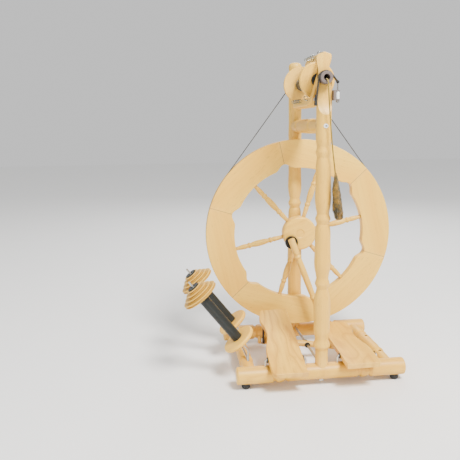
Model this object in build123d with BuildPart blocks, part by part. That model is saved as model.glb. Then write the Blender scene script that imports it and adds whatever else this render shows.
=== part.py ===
"""Upright double-treadle spinning wheel in turned beech, with a flyer and a lazy kate.

Units are millimetres. +Z is up, +Y runs from the front rail to the rear rail and the drive
wheel stands across it. The origin is on the floor, under the middle of the whole wheel.
Every sub-part is a solid or a group of equal solids, written to parts/NAME.step.
"""
import os
from math import acos, asin, atan2, cos, degrees, hypot, pi, radians, sin, tan

from build123d import *

# ---------------------------------------------------------------- driving dimensions
POST_X = 33.0           # the front post's place in the part's frame
POST_Y = -120.9
BASE_DEPTH = 273.0      # front rail axis to rear rail axis
RAIL_Z = 31.0           # height of the rail axes
RAIL_HALF = 202.0       # half the length of a base rail
RAIL_END_R = 20.0       # thick ends of a base rail
RAIL_MID_R = 18.7       # the rail between its beads
SIDE_RAIL_X = 168.0
TENON_R = 9.0
FOOT_X = 180.0
FOOT_R = 10.0
FOOT_TOP = 13.0
BOLT_R = 4.0
SOCKET_R = 4.0          # blind accessory sockets in the right side rail
SOCKET_DEPTH = 14.0
SOCKET_Y = (60.0, 157.0)

AXLE_Z = 319.6          # drive wheel axle
WHEEL_R = 250.0
RIM_Y = (216.5, 238.5)
SEGMENTS = 6
SPOKE_ANGLE = 12.7      # first spoke, from +X towards +Z; the segments are centred on the spokes
SPOKE_Y = 226.0
RIM_INNER_R = 175.0     # inner edge in the middle of a segment
RIM_JOINT_R = 189.0     # inner edge at the joints
HUB_R = 45.0
HUB_Y = (209.0, 236.0)
AXLE_R = 6.0
BEARING_R = 13.0
CRANK_THROW = 33.0
CRANK_ANGLE = 222.0
CRANK_DISC_Y = (201.0, 208.5)
BELT_R = 1.2            # radius of the cord itself
BELT_RIM_R = 249.2      # radius of the cord's turn round the rim
BELT_WHORL_R = 18.0     # and round the whorl

FLYER_Z = 708.0         # flyer and bobbin axis
FLYER_TILT = 17.0       # the flyer's board, turned from upright about the axis
FLYER_Y = (21.0, 190.0)
ARM_R = 54.0            # axis to the middle of an arm
ARM_HALF = 9.5
SHAFT_R = 4.5
SLEEVE_R = 14.0
TUBE_R = 9.0
SCREW_Z = 662.0         # the brake strap's screw, in the post's left side
ORIFICE_R = 7.0
RUNNING_GAP = 0.05      # radial clearance of a running fit
BOBBIN_BORE_R = 4.6
BOBBIN_TUBE_R = 12.5
BOBBIN_INSERT_R = 14.5
BOBBIN_DISC_R = 42.0
BOBBIN_DISC_Y = 60.0    # middle of the front disc of the bobbin on the flyer
BOBBIN_SPAN = 170.0     # middle of the disc to the outer face of the whorl
WHORL_STEPS = (45.7, 37.0, 28.5, 20.0)
WHORL_STEP = 6.75
BELT_Y = BOBBIN_DISC_Y + BOBBIN_SPAN - WHORL_STEP / 2
STRETCHER_Z = 603.3
STRETCHER_BOLT_R = 3.5
CAP_R = 5.25

PIVOT_Z = 65.0          # treadle pivots, over the front rail
TREADLE_HALF = 6.0      # half the thickness of a treadle board
RIGHT_TILT = 2.85       # rear edges up, as the wheel stands
LEFT_TILT = 16.95
BUSH_R = 4.5
WIRE_R = 2.5
INNER_WIRE_X = 38.4
OUTER_WIRE_X = 134.0
LINK_U = 135.0          # treadle pivot to the link's pin, along the board
LINK_RISE = -1.5        # and from the board's mid-plane
LINK_X = 115.0
ROCKER_Y = 137.0
ROCKER_Z = 42.9
ROCKER_TILT = 8.3       # left end up
ROCKER_HALF = 128.0
FOOTMAN_X = 53.5        # lower pin of the footman, on the right treadle
FOOTMAN_U = 180.0
FOOTMAN_RISE = 14.0
FOOTMAN_TOP_Y = 190.4

KATE_DISC = (-188.0, 97.0)      # x and z of the middle of a spare bobbin's disc
KATE_Y = (58.0, 178.0)
KATE_LEAN = 38.5                # the kate's rods, from upright towards -X

# Routes of the yarns, from the front post's foot on the floor.
YARN_R = 1.5
YARN_POINTS = [(0, -12, 705), (0, -29, 705), (1, -30.5, 684), (4, -28.5, 644), (8.5, -27, 596),
               (14, -25, 545), (20, -24, 503), (24.6, -23.6, 452), (28.2, -24.3, 402)]
LEADER_R = 0.9
LEADER_POINTS = [(-10.5, 19.2, 713), (0.5, 46, 759), (-1, 92, 762), (-11, 95, 723.5)]
TUFT_TOP = (20, -24, 503)
TUFT_END = (29, -24, 391)
TUFT_RUNS = [[(0.5, 2.4), (14, 4.6), (40, 7.0), (70, 9.6), (94, 11.8), (106, 10.4), (111, 6.0),
              (112.4, 0)]]

# ---------------------------------------------------------------- turned outlines
# Each outline is a list of runs of (distance along the axis, radius): two points make a
# straight run and more make a curve.


def collar(z, neck_r, bead_r, cove_r):
    """A bead between two coves, on a post."""
    return [[(z - 12, neck_r), (z - 6, (neck_r + bead_r) / 2), (z, bead_r),
             (z + 6, (cove_r + bead_r) / 2), (z + 13, cove_r)]]


POST_FOOT = [
    [(RAIL_Z, 14.8), (86, 14.8)],
    [(86, 14.8), (90, 17.8), (95.5, 19.8), (101, 18.2), (107, 16.0)],
]
FRONT_LOWER = [
    [(107, 16.0), (113, 15.5), (122, 17.7), (145, 18.5), (180, 19.4), (198, 19.0), (214, 17.2),
     (224, 14.4), (231, 13.1)],
] + collar(243, 13.1, 16.9, 14.0) + [
    [(256, 14.0), (266, 15.4), (280, 18.2), (308, 18.6), (350, 17.8), (370, 17.0), (382, 14.0)],
]
REAR_LOWER = [
    [(107, 16.0), (113, 15.5), (122, 17.7), (150, 18.8), (210, 19.7), (235, 19.6), (275, 18.8),
     (320, 18.4), (358, 17.6), (371, 16.8), (382, 14.0)],
]
POST_UPPER = collar(394, 14.0, 17.4, 13.8) + [
    [(407, 13.8), (420, 16.4), (432, 18.0), (448, 18.2), (480, 17.2), (518, 16.6), (533, 14.4)],
] + collar(545, 14.4, 17.3, 14.8) + [
    [(558, 14.8), (570, 17.2), (600, 17.2), (650, 17.2), (688, 17.1)],
]


def horn(lift):
    """The vase-shaped top of a post."""
    return [
        [(688, 17.1), (702 + lift, 16.2), (717 + lift, 13.2), (733 + lift, 14.6), (749 + lift, 17.0),
         (756 + lift, 16.4), (761 + lift, 13.0), (763 + lift, 8.0), (763.5 + lift, 0)],
    ]


FRONT_POST_RUNS = POST_FOOT + FRONT_LOWER + POST_UPPER + horn(0)
REAR_POST_RUNS = POST_FOOT + REAR_LOWER + POST_UPPER + horn(7.5)

RAIL_LEFT_RUNS = [
    [(0, 15.5), (0.9, 18.2), (3.6, RAIL_END_R)],
    [(3.6, RAIL_END_R), (82, RAIL_END_R)],
    [(82, RAIL_END_R), (85, 18.4), (88, 16.5), (92, 17.0), (94.5, 18.9)],
    [(94.5, 18.9), (102, 19.8), (108.5, 18.9)],
    [(108.5, 18.9), (110.5, 17.0), (113, 16.4), (118, 17.9), (124, RAIL_MID_R)],
    [(124, RAIL_MID_R), (RAIL_HALF, RAIL_MID_R)],
]
SIDE_RAIL_RUNS = [
    [(12, 13.6), (30, 14.4), (66, 15.2)],
    [(66, 15.2), (70, 14.2), (73, 15.8), (76, 17.0), (80, 15.8), (84, 14.2)],
    [(84, 14.2), (92, 15.4), (137, 16.2), (180, 15.4), (188, 14.2)],
    [(188, 14.2), (192, 15.8), (196, 17.0), (199, 15.8), (203, 14.2)],
    [(203, 14.2), (208, 15.2), (244, 14.4), (261, 13.6)],
]
STRETCHER_RUNS = [
    [(8, 16.4), (68, 17.5)],
    [(68, 17.5), (72, 15.6), (76, 15.0), (80, 16.2), (84, 17.6)],
    [(84, 17.6), (132, 18.0), (190, 17.4)],
    [(190, 17.4), (195, 15.4), (200, 15.0), (204, 16.2), (208, 17.2)],
    [(208, 17.2), (236, 16.4), (265, 14.4)],
]
SPOKE_RUNS = [
    [(37, 4.8), (45, 4.8)],
    [(45, 5.2), (58, 5.8), (70, 6.6)],
    [(70, 6.6), (74, 5.8), (77, 6.9), (79.5, 7.8), (82, 6.9), (85, 5.6)],
    [(85, 5.6), (96, 7.4), (110, 8.1), (124, 7.4), (132, 5.6)],
    [(132, 5.6), (135, 6.9), (137.5, 7.7), (140, 6.9), (143, 5.6)],
    [(143, 5.6), (150, 6.6), (162, 5.8), (178, 5.0)],
    [(178, 4.6), (186, 4.6)],
]
HUB_RUNS = [
    [(HUB_Y[0] + 1.5, 9), (HUB_Y[0] + 1.5, 10)],
    [(HUB_Y[0], 12), (HUB_Y[0], 38)],
    [(HUB_Y[0], 38), (HUB_Y[0] + 1, 42), (HUB_Y[0] + 5, HUB_R)],
    [(HUB_Y[0] + 5, HUB_R), (HUB_Y[1] - 2, HUB_R)],
    [(HUB_Y[1] - 2, HUB_R), (HUB_Y[1], HUB_R - 2)],
]
FOOTMAN_RUNS = [
    [(-13, 7.6), (-12, 8.8)],
    [(-12, 8.8), (28, 8.8)],
    [(28, 8.8), (31, 7.4), (33, 7.2), (35, 8.2), (38, 9.4), (41, 8.2), (44, 7.2)],
    [(44, 7.2), (60, 8.0), (95, 8.4), (130, 8.0), (150, 7.2)],
    [(150, 7.2), (153, 8.2), (156, 9.0), (159, 8.2), (162, 6.8)],
    [(162, 6.8), (172, 6.8), (184, 5.6)],
]

# ---------------------------------------------------------------- helpers


def at(x, y, z):
    """A place given from the front post's foot on the floor, in the part's frame."""
    return Vector(x + POST_X, y + POST_Y, z)


def turned(start, along, side, runs, mode=Mode.ADD):
    """Lathe work about the line from start, with the outline in the plane of along and side."""
    with BuildSketch(Plane(origin=start, x_dir=along, z_dir=along.cross(side))) as outline:
        with BuildLine():
            previous = (runs[0][0][0], 0)
            for run in runs:
                if previous != run[0]:
                    Line(previous, run[0])
                if len(run) == 2:
                    Line(*run)
                else:
                    Spline(*run)
                previous = run[-1]
            if previous[1] > 0:
                Line(previous, (previous[0], 0))
                previous = (previous[0], 0)
            Line(previous, (runs[0][0][0], 0))
        make_face()
    revolve(outline.sketch, axis=Axis(start, along), mode=mode)


def rod(start, end, r, mode=Mode.ADD):
    """A round bar, or with Mode.SUBTRACT a round hole, from start to end."""
    with BuildSketch(Plane(origin=start, z_dir=end - start)) as section:
        Circle(r)
    extrude(section.sketch, amount=(end - start).length, mode=mode)


def ring(start, end, r_out, r_in):
    """A round tube from start to end."""
    with BuildSketch(Plane(origin=start, z_dir=end - start)) as section:
        Circle(r_out)
        Circle(r_in, mode=Mode.SUBTRACT)
    extrude(section.sketch, amount=(end - start).length)


def block(low, high, mode=Mode.ADD):
    """A box between two corners given from the front post's foot."""
    with BuildSketch(Plane(at((low[0] + high[0]) / 2, (low[1] + high[1]) / 2, low[2]))) as base:
        Rectangle(high[0] - low[0], high[1] - low[1])
    extrude(base.sketch, amount=high[2] - low[2], mode=mode)


def bent_rod(points, bend_radii, r, mode=Mode.ADD):
    """A round wire along straight runs joined by tangent arcs."""
    with BuildLine() as route:
        path = FilletPolyline(*points, radius=bend_radii)
    with BuildSketch(Plane(origin=path @ 0, z_dir=path % 0)) as section:
        Circle(r)
    sweep(section.sketch, path=route.line, mode=mode)


def cord_radii(points):
    """The largest arcs that the runs of a cord allow."""
    radii = []
    for before, here, after in zip(points, points[1:], points[2:]):
        first = here - before
        second = after - here
        shorter = min(first.length, second.length)
        radii.append(0.45 * shorter / tan(radians(first.get_angle(second)) / 2))
    return radii


def finish(builder, name):
    """Label a finished piece and write it."""
    builder.part.label = name
    export_step(builder.part, f"parts/{name}.step")


def cord(name, stations, r):
    """A cord's tube along its route, with its radii and volume printed."""
    points = [at(*station) for station in stations]
    radii = cord_radii(points)
    with BuildPart() as tube:
        bent_rod(points, radii, r)
    with BuildLine():
        length = FilletPolyline(*points, radius=radii).length
    ratio = tube.part.volume / (pi * r**2 * length)
    shown = ", ".join(f"{radius:.1f}" for radius in radii)
    print(f"{name}: length {length:.1f}, volume ratio {ratio:.4f}, radii {shown}")
    finish(tube, name)


X = Vector(1, 0, 0)
Y = Vector(0, 1, 0)
Z = Vector(0, 0, 1)
FRONT = Vector(0, -1, 0)
SIDES = (-1, 1)
RAILS_Y = (0.0, BASE_DEPTH)

os.makedirs("parts", exist_ok=True)

# ---------------------------------------------------------------- base frame
RAIL_RUNS = RAIL_LEFT_RUNS + [
    [(2 * RAIL_HALF - d, r) for d, r in reversed(run)] for run in reversed(RAIL_LEFT_RUNS)
]
WIRE_X = (INNER_WIRE_X, OUTER_WIRE_X)

for rail_y, name in zip(RAILS_Y, ("front_rail", "rear_rail")):
    with BuildPart() as rail:
        turned(at(-RAIL_HALF, rail_y, RAIL_Z), X, Z, RAIL_RUNS)
        inward = 1 if rail_y == 0 else -1
        for side in SIDES:
            rod(at(side * FOOT_X, rail_y, -1), at(side * FOOT_X, rail_y, FOOT_TOP), FOOT_R + 0.2,
                mode=Mode.SUBTRACT)
            rod(at(side * SIDE_RAIL_X, rail_y + 4 * inward, RAIL_Z),
                at(side * SIDE_RAIL_X, rail_y + 22 * inward, RAIL_Z), TENON_R, mode=Mode.SUBTRACT)
        rod(at(0, rail_y, 0), at(0, rail_y, 60), BOLT_R, mode=Mode.SUBTRACT)
        rod(at(0, rail_y, 0), at(0, rail_y, FOOT_TOP + 1), 8, mode=Mode.SUBTRACT)
        rod(at(0, rail_y + 6 * inward, ROCKER_Z), at(0, rail_y + 30 * inward, ROCKER_Z), 3,
            mode=Mode.SUBTRACT)
        if rail_y == 0:
            for side in SIDES:
                for wire_x in WIRE_X:
                    rod(at(side * wire_x, 0, 38), at(side * wire_x, 0, 60), WIRE_R, mode=Mode.SUBTRACT)
    finish(rail, name)

for side, name in zip(SIDES, ("left_side_rail", "right_side_rail")):
    x = side * SIDE_RAIL_X
    with BuildPart() as side_rail:
        turned(at(x, 0, RAIL_Z), Y, Z, SIDE_RAIL_RUNS)
        for rail_y in RAILS_Y:
            rod(at(-RAIL_HALF, rail_y, RAIL_Z), at(RAIL_HALF, rail_y, RAIL_Z), RAIL_END_R,
                mode=Mode.SUBTRACT)
        rod(at(x, 4, RAIL_Z), at(x, BASE_DEPTH - 4, RAIL_Z), TENON_R)
        if side > 0:
            for socket_y in SOCKET_Y:
                rod(at(x, socket_y, RAIL_Z + 1), at(x, socket_y, RAIL_Z + 30), SOCKET_R,
                    mode=Mode.SUBTRACT)
        else:
            block((x - 1.6, 44.2, 32.4), (x + 3.6, 62.0, 60), mode=Mode.SUBTRACT)
    finish(side_rail, name)

FOOT_RUNS = [
    [(0, 6.5), (1.2, 8.2), (3.6, 9.6), (7, FOOT_R)],
    [(7, FOOT_R), (FOOT_TOP, FOOT_R)],
]
with BuildPart() as rubber_feet:
    for rail_y in RAILS_Y:
        for side in SIDES:
            turned(at(side * FOOT_X, rail_y, 0), Z, X, FOOT_RUNS)
finish(rubber_feet, "rubber_feet")

# The bolts hold the posts down from under the rails, and the stretcher between the posts.
with BuildPart() as frame_bolts:
    for rail_y in RAILS_Y:
        rod(at(0, rail_y, 9), at(0, rail_y, FOOT_TOP + 1), 7)
        rod(at(0, rail_y, FOOT_TOP + 1), at(0, rail_y, 78), BOLT_R)
    for head_y, tip_y in ((-10, 66), (BASE_DEPTH + 10, BASE_DEPTH - 66)):
        step = 1 if head_y < tip_y else -1
        rod(at(0, head_y, STRETCHER_Z), at(0, head_y + 3.5 * step, STRETCHER_Z), 4.8)
        rod(at(0, head_y + 3.5 * step, STRETCHER_Z), at(0, tip_y, STRETCHER_Z), STRETCHER_BOLT_R)
finish(frame_bolts, "frame_bolts")

with BuildPart() as bolt_caps:
    for start_y, direction in ((-10, FRONT), (BASE_DEPTH + 10, Y)):
        turned(at(0, start_y, STRETCHER_Z), direction, Z,
               [[(0, CAP_R), (7.6, CAP_R)], [(7.6, CAP_R), (8.6, 4.2)], [(8.6, 4.2), (8.6, 2.0)],
                [(7.4, 2.0), (7.4, 1.9)]])
finish(bolt_caps, "bolt_caps")

# ---------------------------------------------------------------- posts and stretcher


def post_holes(post_y, inward):
    """Holes shared by both posts: foot bolt, saddle, rocker axle and stretcher bolt."""
    rod(at(-60, post_y, RAIL_Z), at(60, post_y, RAIL_Z), RAIL_MID_R, mode=Mode.SUBTRACT)
    rod(at(0, post_y, RAIL_Z), at(0, post_y, 78), BOLT_R, mode=Mode.SUBTRACT)
    rod(at(0, post_y + 5 * inward, ROCKER_Z), at(0, post_y + 30 * inward, ROCKER_Z), 3,
        mode=Mode.SUBTRACT)
    rod(at(0, post_y - 30 * inward, STRETCHER_Z), at(0, post_y + 30 * inward, STRETCHER_Z),
        STRETCHER_BOLT_R, mode=Mode.SUBTRACT)
    rod(at(0, post_y - 30 * inward, STRETCHER_Z), at(0, post_y - 6.5 * inward, STRETCHER_Z), CAP_R,
        mode=Mode.SUBTRACT)


with BuildPart() as front_post:
    turned(at(0, 0, 0), Z, X, FRONT_POST_RUNS)
    post_holes(0, 1)
    # The flat front face runs out in a long ramp below.
    with BuildSketch(Plane(origin=at(-30, 0, 0), x_dir=Y, z_dir=X)):
        with BuildLine():
            Polyline((-4, 800), (-4, 664))
            RadiusArc((-4, 664), (-18, 626), 70)
            Polyline((-18, 626), (-40, 626), (-40, 800), (-4, 800))
        make_face()
    extrude(amount=60, mode=Mode.SUBTRACT)
    block((-30, -30, FLYER_Z), (30, 7, 800), mode=Mode.SUBTRACT)
    rod(at(0, -10, FLYER_Z), at(0, 7, FLYER_Z), 14.4, mode=Mode.SUBTRACT)
    rod(at(0, 0, FLYER_Z), at(0, 30, FLYER_Z), TUBE_R + 0.6, mode=Mode.SUBTRACT)
    # Holes of the brake strap's screw and the bracket's pins.
    rod(at(-30, 0, SCREW_Z), at(-6, 0, SCREW_Z), 2, mode=Mode.SUBTRACT)
    for pin_z in (665, 675):
        rod(at(12, 0, pin_z), at(20, 0, pin_z), 1.5, mode=Mode.SUBTRACT)
finish(front_post, "front_post")

with BuildPart() as rear_post:
    turned(at(0, BASE_DEPTH, 0), Z, X, REAR_POST_RUNS)
    post_holes(BASE_DEPTH, -1)
    rod(at(0, BASE_DEPTH - 40, AXLE_Z), at(0, BASE_DEPTH + 40, AXLE_Z), AXLE_R, mode=Mode.SUBTRACT)
    rod(at(0, BASE_DEPTH + 16.5, AXLE_Z), at(0, BASE_DEPTH + 40, AXLE_Z), 10.5, mode=Mode.SUBTRACT)
    rod(at(0, BASE_DEPTH - 40, AXLE_Z), at(0, BASE_DEPTH - 17.6, AXLE_Z), 10, mode=Mode.SUBTRACT)
    rod(at(0, BASE_DEPTH - 40, FLYER_Z), at(0, BASE_DEPTH - 5, FLYER_Z), 9, mode=Mode.SUBTRACT)
finish(rear_post, "rear_post")

with BuildPart() as post_stretcher:
    turned(at(0, 0, STRETCHER_Z), Y, Z, STRETCHER_RUNS)
    for post_y in RAILS_Y:
        rod(at(0, post_y, STRETCHER_Z - 60), at(0, post_y, STRETCHER_Z + 60), 17.8, mode=Mode.SUBTRACT)
    rod(at(0, 0, STRETCHER_Z), at(0, 66, STRETCHER_Z), STRETCHER_BOLT_R, mode=Mode.SUBTRACT)
    rod(at(0, BASE_DEPTH - 66, STRETCHER_Z), at(0, BASE_DEPTH, STRETCHER_Z), STRETCHER_BOLT_R,
        mode=Mode.SUBTRACT)
finish(post_stretcher, "post_stretcher")

# ---------------------------------------------------------------- drive wheel
WHEEL_PLANE = Plane(origin=at(0, RIM_Y[1], AXLE_Z), x_dir=X, z_dir=FRONT)


def around_axle(angle, r, y):
    """A place beside the axle: angle from +X towards +Z, distance r."""
    return at(r * cos(radians(angle)), y, AXLE_Z + r * sin(radians(angle)))


def polar(r, angle):
    return (r * cos(radians(angle)), r * sin(radians(angle)))


for index in range(SEGMENTS):
    middle = SPOKE_ANGLE + index * 360 / SEGMENTS
    half = 180 / SEGMENTS
    with BuildPart() as segment:
        with BuildSketch(WHEEL_PLANE) as outline:
            with BuildLine():
                ThreePointArc(polar(WHEEL_R, middle - half), polar(WHEEL_R, middle),
                              polar(WHEEL_R, middle + half))
                Line(polar(WHEEL_R, middle + half), polar(RIM_JOINT_R, middle + half))
                Spline(polar(RIM_JOINT_R, middle + half), polar(186.5, middle + half - 2.6),
                       polar(179.5, middle + half - 5.6), polar(RIM_INNER_R, middle + half - 9))
                ThreePointArc(polar(RIM_INNER_R, middle + half - 9), polar(RIM_INNER_R, middle),
                              polar(RIM_INNER_R, middle - half + 9))
                Spline(polar(RIM_INNER_R, middle - half + 9), polar(179.5, middle - half + 5.6),
                       polar(186.5, middle - half + 2.6), polar(RIM_JOINT_R, middle - half))
                Line(polar(RIM_JOINT_R, middle - half), polar(WHEEL_R, middle - half))
            make_face()
        extrude(amount=RIM_Y[1] - RIM_Y[0])
        flat_edges = segment.edges().filter_by_position(Axis.Y, POST_Y + RIM_Y[0] - 0.1,
                                                        POST_Y + RIM_Y[0] + 0.1)
        back_edges = segment.edges().filter_by_position(Axis.Y, POST_Y + RIM_Y[1] - 0.1,
                                                        POST_Y + RIM_Y[1] + 0.1)
        round_edges = [edge for edge in flat_edges + back_edges if edge.geom_type == GeomType.CIRCLE]
        fillet(round_edges, radius=1.5)
        with BuildSketch(Plane(origin=at(0, BELT_Y, AXLE_Z), x_dir=X, z_dir=Z)) as groove:
            with Locations((BELT_RIM_R, 0)):
                Circle(2.2)
        revolve(groove.sketch, axis=Axis(at(0, 0, AXLE_Z), Y), mode=Mode.SUBTRACT)
        rod(around_axle(middle, 170, SPOKE_Y), around_axle(middle, 186, SPOKE_Y), 4.6,
            mode=Mode.SUBTRACT)
    finish(segment, f"rim_segment_{index + 1}")

with BuildPart() as spokes:
    for index in range(SEGMENTS):
        angle = SPOKE_ANGLE + index * 360 / SEGMENTS
        outward = (around_axle(angle, 1, 0) - around_axle(angle, 0, 0)).normalized()
        turned(around_axle(angle, 0, SPOKE_Y), outward, Y, SPOKE_RUNS)
    # The spokes' shoulders follow the rim's inner edge and the hub.
    with BuildSketch(Plane(origin=at(0, SPOKE_Y - 12, AXLE_Z), x_dir=X, z_dir=Y)) as shoulder:
        Circle(182)
        Circle(RIM_INNER_R, mode=Mode.SUBTRACT)
    with BuildSketch(Plane(origin=at(0, SPOKE_Y - 12, AXLE_Z), x_dir=X, z_dir=Y)) as hub_edge:
        Circle(HUB_R)
    extrude(shoulder.sketch, amount=24, mode=Mode.SUBTRACT)
    extrude(hub_edge.sketch, amount=24, mode=Mode.SUBTRACT)
    for index in range(SEGMENTS):
        angle = SPOKE_ANGLE + index * 360 / SEGMENTS
        rod(around_axle(angle, 37, SPOKE_Y), around_axle(angle, HUB_R + 2, SPOKE_Y), 4.6)
        rod(around_axle(angle, RIM_INNER_R - 2, SPOKE_Y), around_axle(angle, 186, SPOKE_Y), 4.6)
finish(spokes, "spokes")

CRANK_PIN_FROM = around_axle(CRANK_ANGLE, CRANK_THROW, CRANK_DISC_Y[0])
with BuildPart() as wheel_hub:
    turned(at(0, 0, AXLE_Z), Y, Z, HUB_RUNS)
    rod(at(0, HUB_Y[0] + 7, AXLE_Z), at(0, HUB_Y[1] + 1, AXLE_Z), BEARING_R, mode=Mode.SUBTRACT)
    for index in range(SEGMENTS):
        angle = SPOKE_ANGLE + index * 360 / SEGMENTS
        rod(around_axle(angle, 37, SPOKE_Y), around_axle(angle, HUB_R + 2, SPOKE_Y), 4.6,
            mode=Mode.SUBTRACT)
    rod(CRANK_PIN_FROM, CRANK_PIN_FROM + Y * 25, 3, mode=Mode.SUBTRACT)
finish(wheel_hub, "wheel_hub")

with BuildPart() as wheel_bearings:
    for start_y in (HUB_Y[0] + 7.5, HUB_Y[1] - 8):
        ring(at(0, start_y, AXLE_Z), at(0, start_y + 7, AXLE_Z), BEARING_R, AXLE_R + RUNNING_GAP)
finish(wheel_bearings, "wheel_bearings")

with BuildPart() as crank_pin:
    rod(CRANK_PIN_FROM, CRANK_PIN_FROM + Y * 25, 3)
finish(crank_pin, "crank_pin")

with BuildPart() as crank_bearing:
    ring(CRANK_PIN_FROM, CRANK_PIN_FROM + Y * (CRANK_DISC_Y[1] - CRANK_DISC_Y[0]), 16.8, 3)
    front_circles = crank_bearing.edges().filter_by(GeomType.CIRCLE).sort_by(Axis.Y)[0:2]
    fillet(front_circles.sort_by(SortBy.RADIUS)[-1], radius=1.2)
finish(crank_bearing, "crank_bearing")

with BuildPart() as wheel_axle:
    rod(at(0, HUB_Y[0] + 8, AXLE_Z), at(0, BASE_DEPTH + 26, AXLE_Z), AXLE_R)
    rod(at(0, HUB_Y[1] + 1, AXLE_Z), at(0, BASE_DEPTH - 17.6, AXLE_Z), 9.5)
finish(wheel_axle, "wheel_axle")

with BuildPart() as axle_nut:
    ring(at(0, BASE_DEPTH + 16.5, AXLE_Z), at(0, BASE_DEPTH + 18, AXLE_Z), 10, AXLE_R)
    with BuildSketch(Plane(origin=at(0, BASE_DEPTH + 18, AXLE_Z), z_dir=Y)):
        RegularPolygon(9.2, 6)
        Circle(AXLE_R, mode=Mode.SUBTRACT)
    extrude(amount=6)
finish(axle_nut, "axle_nut")

# The belt is one closed loop: round the rim below, round the whorl above, and two straight runs.
BELT_TILT = degrees(asin((BELT_RIM_R - BELT_WHORL_R) / (FLYER_Z - AXLE_Z)))
with BuildPart() as drive_cord:
    with BuildLine(Plane(origin=at(0, BELT_Y, AXLE_Z), x_dir=X, z_dir=FRONT)) as belt:
        rise = FLYER_Z - AXLE_Z
        right_low = polar(BELT_RIM_R, BELT_TILT)
        left_low = polar(BELT_RIM_R, 180 - BELT_TILT)
        right_high = (polar(BELT_WHORL_R, BELT_TILT)[0], polar(BELT_WHORL_R, BELT_TILT)[1] + rise)
        left_high = (-right_high[0], right_high[1])
        ThreePointArc(left_low, (0, -BELT_RIM_R), right_low)
        Line(right_low, right_high)
        ThreePointArc(right_high, (0, BELT_WHORL_R + rise), left_high)
        Line(left_high, left_low)
    left_run = Vector(sin(radians(BELT_TILT)), 0, cos(radians(BELT_TILT)))
    with BuildSketch(Plane(origin=at(left_low[0], BELT_Y, AXLE_Z + left_low[1]), z_dir=left_run)):
        Circle(BELT_R)
    sweep(path=belt.wires()[0])
finish(drive_cord, "drive_cord")

# ---------------------------------------------------------------- flyer, orifice and brake
LEAN = radians(FLYER_TILT)
ARM_UP = Vector(sin(LEAN), 0, cos(LEAN))
ARM_FACE = Vector(cos(LEAN), 0, -sin(LEAN))     # out of the board's right face


def on_flyer(y, up, out):
    """A place on the flyer: y along the axis, up towards the upper arm, out of the right face."""
    return at(0, y, FLYER_Z) + ARM_UP * up + ARM_FACE * out


with BuildPart() as flyer_frame:
    reach = ARM_R + ARM_HALF
    bay = ARM_R - ARM_HALF
    with BuildSketch(Plane(origin=on_flyer(0, 0, -ARM_HALF), x_dir=Y, z_dir=ARM_FACE)) as board:
        with BuildLine():
            FilletPolyline((100, -bay), (FLYER_Y[1], -bay), (FLYER_Y[1], -reach), (FLYER_Y[0], -reach),
                           (FLYER_Y[0], reach), (FLYER_Y[1], reach), (FLYER_Y[1], bay),
                           (FLYER_Y[0] + 19, bay), (FLYER_Y[0] + 19, -bay), (60, -bay),
                           radius=(4, 5, 24, 24, 5, 4, 9, 9))
            Line((60, -bay), (100, -bay))
        make_face()
    extrude(amount=2 * ARM_HALF)
    long_edges = [edge for edge in flyer_frame.edges() if edge.length > 60]
    fillet(long_edges, radius=3)
    rod(at(0, 0, FLYER_Z), at(0, 60, FLYER_Z), TUBE_R, mode=Mode.SUBTRACT)
finish(flyer_frame, "flyer_frame")

HOOK_R = 0.75
HOOK_LOOP = 3.2
with BuildPart() as flyer_hooks:
    for arm in SIDES:
        for hook_y in (104, 118, 132, 146, 160, 174):
            foot = on_flyer(hook_y, arm * ARM_R, -ARM_HALF)
            with BuildLine(Plane(origin=foot, x_dir=-1 * ARM_FACE, z_dir=Y)) as hook_path:
                Line((0, 0), (5, 0))
                CenterArc((5, HOOK_LOOP), HOOK_LOOP, -90, 250)
            with BuildSketch(Plane(origin=foot, z_dir=-1 * ARM_FACE)) as hook_wire:
                Circle(HOOK_R)
            sweep(hook_wire.sketch, path=hook_path.line)
        # The sliding hook that leads the yarn on.
        foot = on_flyer(48, arm * (ARM_R - 2), -ARM_HALF)
        with BuildLine(Plane(origin=foot, x_dir=-1 * ARM_FACE, z_dir=Y)) as hook_path:
            Line((0, 0), (6, 0))
            CenterArc((6, 4.5), 4.5, -90, 250)
        with BuildSketch(Plane(origin=foot, z_dir=-1 * ARM_FACE)) as hook_wire:
            Circle(1.0)
        sweep(hook_wire.sketch, path=hook_path.line)
finish(flyer_hooks, "flyer_hooks")

with BuildPart() as orifice_sleeve:
    rod(at(0, -22, FLYER_Z), at(0, -4.6, FLYER_Z), SLEEVE_R)
    rod(at(0, -4.6, FLYER_Z), at(0, 36, FLYER_Z), TUBE_R)
    rod(at(0, -23, FLYER_Z), at(0, 30, FLYER_Z), ORIFICE_R, mode=Mode.SUBTRACT)
    front_ring = orifice_sleeve.faces().sort_by(Axis.Y)[0]
    fillet(front_ring.edges(), radius=1.2)
finish(orifice_sleeve, "orifice_sleeve")

with BuildPart() as flyer_shaft:
    rod(at(0, 36, FLYER_Z), at(0, BASE_DEPTH - 6, FLYER_Z), SHAFT_R)
finish(flyer_shaft, "flyer_shaft")

with BuildPart() as flyer_bearings:
    ring(at(0, -4, FLYER_Z), at(0, 7, FLYER_Z), 14.4, TUBE_R + RUNNING_GAP)
    ring(at(0, BASE_DEPTH - 17, FLYER_Z), at(0, BASE_DEPTH - 6, FLYER_Z), 9, SHAFT_R + RUNNING_GAP)
finish(flyer_bearings, "flyer_bearings")

# The strap runs over the sleeve from the screw on the left to the tension rod on the right.
STRAP_Y = (-15.0, -5.0)
STRAP_HALF = 0.9
STRAP_R = SLEEVE_R + 0.5 + STRAP_HALF
STRAP_FOOT = (-21.0, 648.0 - FLYER_Z)
STRAP_KNOT = (27.5, -9.0)
STRAP_TAB_RISE = 24.0       # the foot's wider part, with the screw
STRAP_TAB_BACK = 9.5        # how much further back it reaches


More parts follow.
